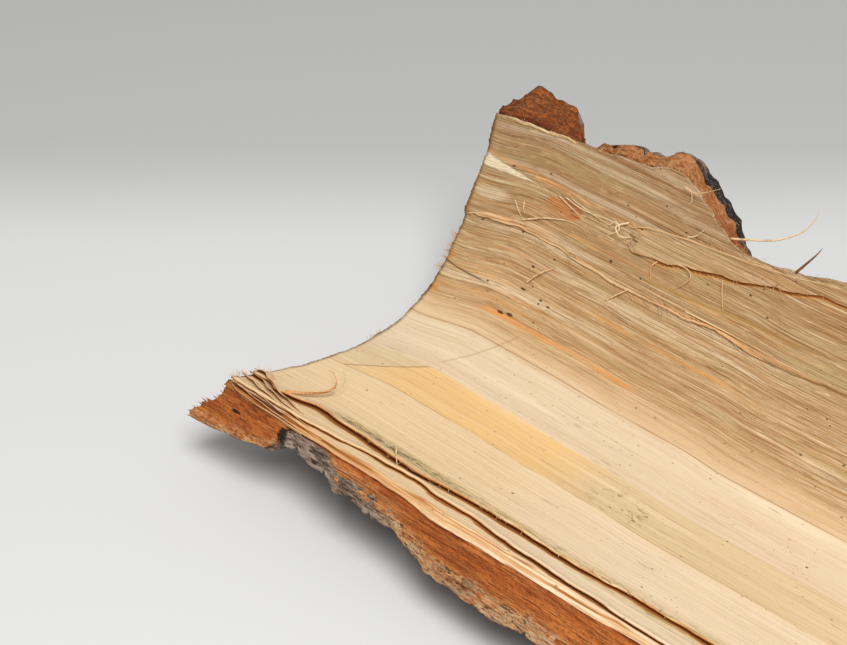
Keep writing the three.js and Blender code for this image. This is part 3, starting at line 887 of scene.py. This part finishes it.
colour = colour.coats(
    (PIT_BROWN, at_far_rim * (0.25 + 0.6 * crumb.over(0.42, 0.6))),
    (CRUMB_TAN, crumb.over(0.55, 0.7) * at_far_rim * 0.3),
)
pale_wedge = along.over(50, 60) * along.over(118, 84) * lane.over(40, 20) * outward.over(0.16, 0.42)
colour = colour.stain((208, 148, 94), pale_wedge * (threads + 0.5 * fine).over(0.92, 0.62) * 0.8)
crumbly = at_far_rim * along.over(50, 66) * along.over(140, 118)
colour = colour.stain((200, 142, 92), crumbly * (crumb + 0.4 * fine).over(0.5, 0.85) * 0.85)
at_front = lane.over(12, 4)
# Two burrows, each given as along, deep, half its length and half its height.
BURROWS = [(10.3, 12.2, 2.7, 0.8), (37.8, 10.8, 2.6, 4.2)]
# The burrows are painted black, as painted shade in the holes.
for at_along, at_deep, long, tall in BURROWS:
    burrow = (oval(along, deep, (at_along, at_deep), (long, tall)) + 2.4 * crumb - 1.2).over(1.2, 0.7)
    colour = colour.stain(BLACK_HOLLOW, burrow * at_front * 0.94)
colour = colour.coats(
    (PIT_BROWN, relief.over(0.5, 2.2) * 0.55),
    (PIT_BROWN, crumb.over(0.6, 0.78) * 0.6),
)
sawn = along.over(3, 0.8) * lane.over(24, 32)
growth = bark.noise((60, 34, 0.9), 52, 2)
colour = colour.coats(
    (PIT_BROWN, growth.near(0.5, 0.06) * sawn * 0.6),
    (CRUMB_TAN, growth.over(0.58, 0.74) * sawn * 0.4),
)
finish(inner_material, colour, 0.85 + 0.1 * fine, crumb + fine, 0.0018)

inner_bark = layer("inner_bark", inner_bark_point, (290, 150, 40), hidden=("inner", "outer"))
belongs(inner_bark, inner_material)

# The cork
# Dead grey-brown cork outside, split into ridges with furrows between them as the trunk grew. Its broken
# edges are crumbly, and where it lies on the table its ridges are worn level.
CORK_SUNK = 3.0


def cork_point(u, v, w):
    station = LENGTH * u
    share = mix(0.8, 1, w)
    rim_share = mix(mix(0.95, 0.4, track(CORK_RIM, station)), 1, w)
    wrap = track(CORK_WRAP, station)
    front, rim = broken_edges(station, share, rim_share)
    front = front + 3.5 * ease((39 - station) / 3) - 0.3
    across = mix(front, rim, v) + share * sway(station, v)
    outer = plain_thick(station, across) + furrows(station, lane_of(v))
    crumbs = 0.8 * lumps(station / 8, across / 4.5, outer / 6, 141)
    crumbs = crumbs + 0.55 * lumps(station / 3.2, across / 2.1, w * 3, 142)
    crumbs = crumbs + 0.3 * lumps(station / 1.5, across / 1.1, w * 5, 143)
    inner_at = outer - cork_thick(station, across) - CORK_SUNK
    inner_at = mix(inner_at, bast_deep(station) + 1.6, wrap * ease(1 - v * 9))
    rim_from = mix(track(RIM_THICK, station) * 0.9, bast_deep(station) + 3, track(CORK_RIM, station))
    inner_at = np.maximum(inner_at, mix(0, rim_from, ease((v - 0.86) / 0.1)))
    deep = mix(inner_at, outer + crumbs, w)
    at_front, at_rim = ease(1 - v * 50), ease(v * 50 - 49)
    side = rubble(station, deep, 0.5, (1, 5, 2.6, 1, 151), (0.7, 2.1, 1.3, 1, 152))
    across = across - at_front * (side + 0.6 * wrap) + at_rim * (0.7 * side - 0.4)
    ends = ripples(across, deep, (0.8, 3, 3, 153), (0.5, 1.3, 1.3, 154))
    in_tab = tab_share(across, deep)
    reach = ease(1 - station / TAB_FADE) * (TAB_REACH - 2) * in_tab
    sawn = ease(1 - station / 5) * (0.5 * ends + 0.8 * (1 - in_tab))
    along = station - reach + sawn + broken_end(station, across, deep)
    relief = furrows(station, lane_of(v)) - RIDGE_STANDS + crumbs + (at_front + at_rim) * side
    return along, across, deep, relief, np.maximum(at_front, at_rim)


CORK_GREY, PALE_CORK, BLACK_PIT = (108, 88, 74), (164, 142, 124), (34, 26, 20)
FURROW_BROWN, CORK_TAN, RIM_BLACK = (98, 64, 42), (196, 158, 116), (34, 32, 32)

cork_material, cork_shade = new_material("cork")
along, lane, deep, relief, broken = cork_shade.marks()
crust = cork_shade.noise((6, 2.4, 1.7), 31, 5, 0.6)
grit = cork_shade.noise((1.6, 0.9, 0.8), 32, 3)
patch = cork_shade.noise((40, 22, 20), 33)
colour = crust.over(0.4, 0.62).between(PALE_CORK, CORK_GREY)
tan_edge = broken * lane.over(60, 40) * along.over(92, 108)
fibrous = cork_shade.noise((12, 1.2, 0.8), 34, 4)
colour = colour.coats(
    (CORK_TAN, tan_edge * 0.9),
    ((184, 112, 60), tan_edge * (fibrous + 0.4 * crust).over(0.64, 0.78) * 0.85),
    (FURROW_BROWN, relief.over(-1.5, -5) * 0.85),
    (FURROW_BROWN, patch.over(0.45, 0.65) * 0.45),
    (PALE_CORK, relief.over(0.3, 1.4) * patch.over(0.55, 0.4) * 0.5),
)
lump_end = lane.over(205, 213) * along.near(43, 10).over(0, 0.3)
colour = colour.stain((150, 78, 38), lump_end * (0.95 - 0.5 * crust.over(0.56, 0.66)))
# Black on the broken rim about 119 mm along, in blotches where the cork is broken.
patch_noise = cork_shade.noise((9, 6, 6), 35, 3)
dark_patch_run = lane.over(190, 205) * along.near(119, 24).over(0, 0.6)
dark_patch = dark_patch_run * (broken + 1.4 * patch_noise - 0.6).over(0, 0.5)
# The burrow at the front runs on into the cork here, painted black as painted shade in the hole.
burrow = along.near(37.5, 4.4).over(0, 0.5) * deep.over(17, 13) * lane.over(14, 8)
pits = crust + 0.5 * grit
colour = colour.coats(
    (RIM_BLACK, dark_patch * (0.95 - 0.6 * grit.over(0.52, 0.66))),
    (BLACK_PIT, burrow * 0.9),
    (FURROW_BROWN, pits.over(0.8, 0.9) * tan_edge * 0.8),
    (BLACK_PIT, pits.over(0.84, 0.94) * (0.8 - 0.6 * tan_edge)),
    (BLACK_PIT, grit.over(0.6, 0.72) * 0.5),
)
finish(cork_material, colour, 0.88 + 0.1 * grit, 1 - crust - 0.5 * grit, 0.0028)

cork = layer("cork", cork_point, (285, 190, 10), hidden=("inner",))
belongs(cork, cork_material)

# The torn strips
# Strips of bast lifted when the sheet over them tore away: a wide ribbon below the far rim, the frayed edge
# of the low ledge under it, and a pale lip along the rim. Each is thin and stands a little off the face.
RIBBON_STARTS, RIBBON_RISE, RIBBON_THICK = 88, 2.0, 0.7
STRIP_FADES = 0.06
LEDGE_FRAY = 2, 168
LIP_RUN = 6, 47


def strip_ends(u):
    """A strip narrows and sinks at both of its ends."""
    return ease(u / STRIP_FADES) * ease((1 - u) / STRIP_FADES)


def ribbon_point(u, v, w):
    station = mix(RIBBON_STARTS, LENGTH, u)
    narrow = ease(u / 0.02 + 0.45)
    foot = torn_edge(RIBBON_FOOT, station, 161, 0.6) + 0.8
    head = torn_edge(RIBBON_HEAD, station, 162, 0.5) + 0.6
    middle = mix(foot, head, 0.45)
    across = mix(mix(middle, foot, narrow), mix(middle, head, narrow), v)
    bulge = RIBBON_RISE * (0.45 + 0.55 * (1 - v) ** 0.5) * (0.75 + 0.25 * hills(station / 40, 0.5, 163))
    relief = ripples(station, across, (0.28, 60, 2.6, 164), (0.13, 34, 0.9, 165))
    edge = ease(v * 6) * ease((1 - v) * 6)
    top = -LEDGE_RISE - swell(station, across) - bulge * ease(u / 0.03 + 0.3) - relief
    deep = mix(top, top + RIBBON_THICK * (0.4 + 0.6 * edge), w)
    torn = 3.2 * hills(v * 6, 0.5, 166) + 1.6 * hills(v * 15, 0.5, 167)
    along = station - torn * ease(1 - u / 0.03) + broken_end(station, across, 0)
    # The stain darkens the ribbon's foot edge: a painted shadow line along it.
    stain = 0.35 * w + 0.5 * ease(1 - v * 14)
    # The relief mark is lifted all over the ribbon and most at its head: a painted highlight.
    return along, across, deep, relief * (1 - w) + 0.35 + 0.5 * ease(v * 9 - 8), stain


def ledge_fray_point(u, v, w):
    station = mix(LEDGE_FRAY[0], LEDGE_FRAY[1], u)
    ends = strip_ends(u)
    edge = torn_edge(LOW_LEDGE, station, 91, 0.7)
    wide = mix(2.2, 0.9, ease((station - 30) / 50)) * (1 + 0.6 * hills(station / 26, 0.5, 174))
    across = edge - 0.9 * ends + (0.5 + wide * ends) * v
    strands = 0.35 * hills(station / 48, v * 4, 171) + 0.2 * hills(station / 22, v * 9, 172)
    rise = LEDGE_RISE + swell(station, across)
    arch = ease(v * 3) * ease((1 - v) * 3)
    stands = ends * ease(0.7 + hills(station / 31, 0.5, 175))
    top = -rise * mix(0.7, 1, v) - stands * (0.25 + 0.3 * arch) - strands * stands
    deep = mix(top, top + 0.4 + 0.4 * arch, w)
    return station, across, deep, strands * (1 - w), 0.82 + 0.4 * hills(station / 30, v * 3, 173) - 0.2 * arch


def rim_lip_point(u, v, w):
    station = mix(LIP_RUN[0], LIP_RUN[1], u)
    ends = strip_ends(u)
    rim = torn_edge(RIM, station, 51, 0.8)
    wide = 0.4 + (0.6 + 0.5 * hills(station / 8, 0.5, 180)) * ends
    across = rim - 0.9 - 0.5 * hills(station / 5, 0.5, 179) + v * wide
    frayed = 0.35 * hills(station / 9, v * 3, 176) + 0.2 * hills(station / 3, v * 6, 177)
    top = -BARE_RISE - swell(station, across) - ends * (0.3 + 0.5 * v) - frayed
    stain = 0.5 + 0.5 * hills(station / 12, v * 2, 178)
    return station, across, mix(top, top + 0.9, w), frayed * (1 - w), stain


STRAW, TORN_ORANGE, PALE_FIBRE = (216, 178, 126), (206, 130, 62), (234, 210, 170)
fibre_material, fibre = new_material("torn_fibre")
tint = fibre.mark("stain")
streaks = fibre.noise((26, 0.8, 0.8), 41, 3)
colour = tint.over(0.05, 0.8).between(PALE_FIBRE, STRAW)
colour = colour.coats(
    (TORN_ORANGE, tint.over(0.55, 1.1) * 0.8),
    (DARK_BROWN, tint.over(1.22, 1.45) * 0.7),
    (BROWN, streaks.over(0.5, 0.72) * 0.5),
    (PALE_FIBRE, streaks.over(0.45, 0.3) * 0.5),
)
finish(fibre_material, colour, 0.75 + 0.1 * streaks, streaks, 0.0004)

ribbon = layer("lifted_ribbon", ribbon_point, (190, 34, 2))
ledge_fray = layer("ledge_fray", ledge_fray_point, (150, 22, 2))
rim_lip = layer("rim_lip", rim_lip_point, (120, 4, 2))
belongs(ribbon, bast_material)
for strip in (ledge_fray, rim_lip):
    belongs(strip, fibre_material)

# The splinters and hairs
# Single strands of bast that tore loose at one end: curled ones at the sawn corner, long hairs at the rim,
# and fine fuzz wherever a sheet was torn across. The tab of inner bark ends in flat splinters.


def bend(keys, steps):
    """Points on a smooth curve through keys."""
    keys = np.array(keys, float)
    padded = np.concatenate([2 * keys[:1] - keys[1:2], keys, 2 * keys[-1:] - keys[-2:-1]])
    at = np.linspace(0, len(keys) - 1, steps)
    k = np.clip(at.astype(int), 0, len(keys) - 2)
    f = (at - k)[:, None]
    a, b, c, d = (padded[k + i] for i in range(4))
    return 0.5 * (2 * b + (c - a) * f + (2 * a - 5 * b + 4 * c - d) * f**2 + (3 * b - a - 3 * c + d) * f**3)


def strands(name, material, runs, slot="bast"):
    """Tapered strands in one mesh.

    A run is its keys, width, thickness, roll in degrees at its two ends, stain, corners round and tip width.
    """
    points, marks, stains, counts, corners, first = [], [], [], [], [], 0
    for keys, wide, thick, roll, stain, sides, tip in runs:
        steps = (6 if sides > 3 else 3) * len(keys)
        spine = bend(keys, steps)
        ahead = np.gradient(spine, axis=0)
        ahead /= np.linalg.norm(ahead, axis=1, keepdims=True)
        side = np.cross(ahead, (0, 0, 1))
        side /= np.maximum(np.linalg.norm(side, axis=1, keepdims=True), 1e-6)
        up = np.cross(side, ahead)
        turn = np.radians(np.linspace(roll[0], roll[1], steps))[:, None]
        side, up = side * np.cos(turn) + up * np.sin(turn), up * np.cos(turn) - side * np.sin(turn)
        taper = mix(1, tip, np.linspace(0, 1, steps) ** 1.6)[:, None]
        for corner in range(sides):
            angle = 2 * np.pi * corner / sides
            ring = spine + taper * (side * np.cos(angle) * wide + up * np.sin(angle) * thick) / 2
            points.append(ring)
        marks.append(np.tile(spine, (sides, 1)))
        stains.append(np.full(sides * steps, stain))
        for corner in range(sides):
            here = first + corner * steps + np.arange(steps - 1)
            there = first + (corner + 1) % sides * steps + np.arange(steps - 1)
            corners.append(np.stack([here, there, there + 1, here + 1], -1).ravel())
            counts.append(np.full(steps - 1, 4))
        ring = first + np.arange(sides) * steps
        corners.extend([ring[::-1], ring + steps - 1])
        counts.append(np.array([sides, sides]))
        first += sides * steps
    spots = place(*np.concatenate(points).T)
    slab, stain = on_grain(*np.concatenate(marks).T), np.concatenate(stains)
    values = {"slab": slab, "relief": np.zeros(first), "stain": stain}
    piece = mesh_piece(name, spots, np.concatenate(counts), np.concatenate(corners), values)
    belongs(piece, material)


FLAT = (0, 0)
corner_ribbons = [
    (((21, 12.5, -0.8), (25.5, 18.5, -1.9), (28, 25, -2.4), (29, 30, -2.8), (27.4, 36.5, -3), (23, 42, -3.2),
      (17.5, 46.3, -3.2), (12.5, 48.8, -2.2)), 1.7, 0.5, (50, 70), 1.0, 5, 0.12),
    (((23, 14, -1.4), (27.4, 21, -2.9), (30, 29, -3.6), (30, 37, -4.2), (26, 44, -4.8), (19, 50, -4.6)),
     0.5, 0.35, FLAT, 0.3, 4, 0.3),
    (((75, 21, -0.8), (79, 18.6, -2.8), (84, 13, -2.6), (90, 7.8, -0.4)), 1.3, 0.5, (20, 60), 0.4, 5, 0.2),
]
wall_strands = [
    (((132.5, 208.5, -0.6), (140.6, 211, 0.7), (149.8, 214.1, 3), (155.7, 217.5, 5.2), (159.8, 220.9, 7.1),
      (162.4, 225.2, 8.6), (164.3, 231.4, 9.7)), 1.0, 0.7, FLAT, 0.45, 5, 0.2),
    (((165.5, 207, -0.4), (169.6, 212.8, -2.2), (174, 219.5, -3.7), (176.2, 223.8, -4.5)),
     1.3, 0.7, (0, 70), 1.45, 5, 0.15),
    (((106, 221.8, -2), (112, 221.6, -3), (118, 224.6, -4), (127, 231, -6)), 1.2, 0.5, (0, 60), 0.5, 5, 0.2),
    (((113, 201, -1.5), (118, 204, -3.2), (122, 209, -4.4)), 1.0, 0.4, (0, 40), 0.3, 5, 0.2),
    (((109, 220, -0.6), (110.5, 217, -1.4), (109, 213.5, -0.8)), 0.4, 0.4, FLAT, 0.2, 4, 0.4),
    (((31, 176, -1.4), (36, 178.4, -2.2), (44, 182, -2.2), (56, 185, -2.1), (68, 184.4, -2), (86, 186, -1.4)),
     0.9, 0.45, (0, 30), 0.5, 5, 0.15),
    (((45, 193.4, -1.2), (54, 191, -2.2), (64, 187.6, -1.4)), 0.55, 0.4, FLAT, 0.35, 5, 0.2),
    (((49, 194, -1.2), (60, 192.6, -2.4), (73, 193, -1.4)), 0.6, 0.4, FLAT, 0.3, 5, 0.2),
    (((52, 194.6, -1.2), (66, 192.4, -2), (80, 190.8, -1.4)), 0.5, 0.4, FLAT, 0.5, 5, 0.2),
    (((58, 189.6, -1.2), (68, 190.4, -2.1), (78, 189.4, -1.4)), 0.5, 0.4, FLAT, 0.6, 5, 0.2),
    (((24, 183, -1.2), (28, 180, -2.6), (31.5, 176.5, -1.6)), 0.5, 0.4, FLAT, 0.1, 4, 0.3),
    (((29, 184, -1.2), (30.6, 181.4, -2.4), (31.6, 178.6, -1.4)), 0.5, 0.4, FLAT, 0.1, 4, 0.3),
    (((104, 186.6, -1.8), (102.6, 183, -3.4), (103.6, 177, -1.8)), 0.8, 0.5, FLAT, 0.8, 5, 0.4),
    (((112, 188.6, -2.4), (119, 189, -3.6), (122, 186.4, -3.4), (119.4, 182, -2.6), (114, 176.6, -1.6)),
     0.8, 0.5, FLAT, 0.7, 5, 0.3),
    (((136, 191, -2.4), (138.6, 185, -3), (141, 178.6, -1.6)), 0.45, 0.4, FLAT, 0.6, 4, 0.5),
    (((75, 191, -2), (79, 194.4, -4), (82, 192, -4.4), (78.6, 188.6, -3.4), (76, 187, -2), (80, 186, -1.8)),
     0.7, 0.5, FLAT, 0.15, 5, 0.4),
    (((84, 196, -2), (80, 192.6, -4.2), (83, 189.4, -4), (88, 190.6, -2.6)), 0.9, 0.5, FLAT, 0.2, 5, 0.4),
    (((86, 194.6, -2.6), (96, 198.2, -3.4), (119, 201.2, -3.4), (151, 203.6, -3.2), (186, 208.8, -2.6)),
     0.7, 0.5, (30, 0), 0.7, 5, 0.2),
    (((200, 210.4, -2.6), (240, 212.6, -3), (290, 213.6, -2.6)), 0.7, 0.4, (30, 0), 0.55, 5, 0.2),
    (((122, 171.6, -1.2), (138, 171.8, -2.3), (155, 171.4, -2.1), (172, 170.6, -1.4)),
     0.8, 0.5, (0, 30), 0.3, 5, 0.15),
    (((45, 151, -0.4), (51, 158, -2.4), (56, 163, -0.8)), 1.0, 0.5, FLAT, 0.6, 5, 0.3),
    (((86, 160, -0.4), (92, 166, -2.2), (97, 171, -1.2)), 1.0, 0.5, FLAT, 0.6, 5, 0.3),
]

draw = np.random.default_rng(7)


def fuzz(count, spot, out, length, wide, stain):
    """Fine torn hairs from spots on an edge, which lean out along a direction, each a little its own way."""
    runs = []
    for _ in range(count):
        root = np.array(spot(draw.random()))
        reach = np.array(out) + draw.normal(0, 0.35, 3)
        tip = root + reach * length * draw.uniform(0.35, 1)
        middle = mix(root, tip, 0.5) + draw.normal(0, 0.12, 3) * length
        shade = stain + draw.uniform(-0.2, 0.2)
        runs.append(((root, middle, tip), wide * draw.uniform(0.6, 1.2), wide * 0.7, FLAT, shade, 3, 0.3))
    return runs


def on_edge(edge, run, off, deep):
    """Spots on a run of an edge of the bast."""
    return lambda t: (mix(*run, t), track(edge, mix(*run, t)) + off, deep)


def on_sawn_tufts(t):
    """Spots at the sawn end where fibres stand in tufts: most on the wall, and a few below it."""
    return -0.2, (mix(138, 159, t * 5 / 4) if t < 0.8 else mix(88, 97, t * 5 - 4)), 0.8


edge_fuzz = (
    fuzz(40, on_edge(LOW_LEDGE, (14, 170), -1, -1.4), (0.95, -0.15, -0.25), 8, 0.26, 0.4)
    + fuzz(16, on_edge(RIBBON_FOOT, (96, 240), 1, -2.6), (0.95, -0.25, -0.2), 6, 0.26, 0.45)
    + fuzz(90, on_edge(RIM, (4, 200), -0.5, -0.6), (0.5, 0.5, -0.5), 4, 0.26, 0.4)
    + fuzz(120, lambda t: (0.5, mix(20, 212, t), 1.5), (-0.9, 0.05, -0.1), 1.8, 0.22, 0.8)
    + fuzz(70, lambda t: (0.2, mix(0, 26, t), mix(1.2, -0.4, t)), (-0.7, 0.3, -0.6), 3, 0.2, 0.25)
    + fuzz(60, on_sawn_tufts, (-0.8, 0.4, -0.5), 3.2, 0.3, 1.0)
    + fuzz(80, on_edge(TOP_EDGE, (20, 220), 0.6, -0.6), (0.8, -0.5, -0.3), 5, 0.26, 0.35)
)


def tab_splinter(t):
    """A flat splinter on the torn end of the tab."""
    deep = mix(23, 6, t)
    out = -TAB_REACH * ease((deep - TAB_FROM) / (TAB_TO - TAB_FROM))
    root = np.array((out + 3, draw.uniform(-0.5, 3), deep))
    tip = root + (-draw.uniform(3.5, 6.5), draw.normal(0, 0.7), -draw.uniform(0, 1.4))
    middle = mix(root, tip, 0.5) + draw.normal(0, 0.2, 3)
    return (root, middle, tip), draw.uniform(0.8, 1.6), 0.5, FLAT, draw.uniform(0.3, 0.6), 5, 0.1


strands("tab_splinters", inner_material, [tab_splinter(draw.random()) for _ in range(30)], "inner_bark")
strands("corner_ribbons", fibre_material, corner_ribbons)
strands("wall_strands", fibre_material, wall_strands)
strands("edge_fuzz", fibre_material, edge_fuzz)

# The stage
# The slab lies on a large sheet of white paper, which falls off to grey well behind it. A wide soft lamp
# hangs over it, and the pale room fills the shadows.
FLOOR_SIZE = 3
FLOOR_DROP = 0.0003
PAPER, FAR_PAPER = (212, 212, 211), (184, 184, 182)
BACKWARDS = (-0.682, 0.731, 0)
GREY_FROM, GREY_TO = 0.215, 0.33
ROOM_LIGHT = 0.34
LAMP_AT = Vector((0.8, -0.75, 1.87))
LAMP_SIZE, LAMP_POWER = 1.0, 52

floor = bpy.data.meshes.new("floor")
floor.from_pydata(
    [(x * FLOOR_SIZE, y * FLOOR_SIZE, -FLOOR_DROP) for x, y in ((-1, -1), (1, -1), (1, 1), (-1, 1))],
    [], [(0, 1, 2, 3)],
)
floor = bpy.data.objects.new("floor", floor)
bpy.context.scene.collection.objects.link(floor)
paper_material, paper = new_material("paper")
spot = paper.node("ShaderNodeTexCoord", {}, {}, "Object")
back = paper.node("ShaderNodeVectorMath", {"operation": "DOT_PRODUCT"}, {0: spot, 1: BACKWARDS}, "Value")
colour = back.over(GREY_FROM, GREY_TO).between(PAPER, FAR_PAPER)
paper_shader = paper_material.node_tree.nodes["Principled BSDF"]
paper_material.node_tree.links.new(colour.socket, paper_shader.inputs["Base Color"])
paper_shader.inputs["Roughness"].default_value = 0.9
floor.data.materials.append(paper_material)

world = bpy.data.worlds.new("room")
world.use_nodes = True
world.node_tree.nodes["Background"].inputs["Color"].default_value = (1, 1, 1, 1)
world.node_tree.nodes["Background"].inputs["Strength"].default_value = ROOM_LIGHT
bpy.context.scene.world = world
bpy.context.scene.view_settings.view_transform = "Standard"

lamp = bpy.data.objects.new("lamp", bpy.data.lights.new("lamp", "AREA"))
lamp.data.size = LAMP_SIZE
lamp.data.energy = LAMP_POWER
lamp.location = LAMP_AT
lamp.rotation_mode = "QUATERNION"
lamp.rotation_quaternion = (-LAMP_AT).to_track_quat("-Z", "Y")
bpy.context.scene.collection.objects.link(lamp)
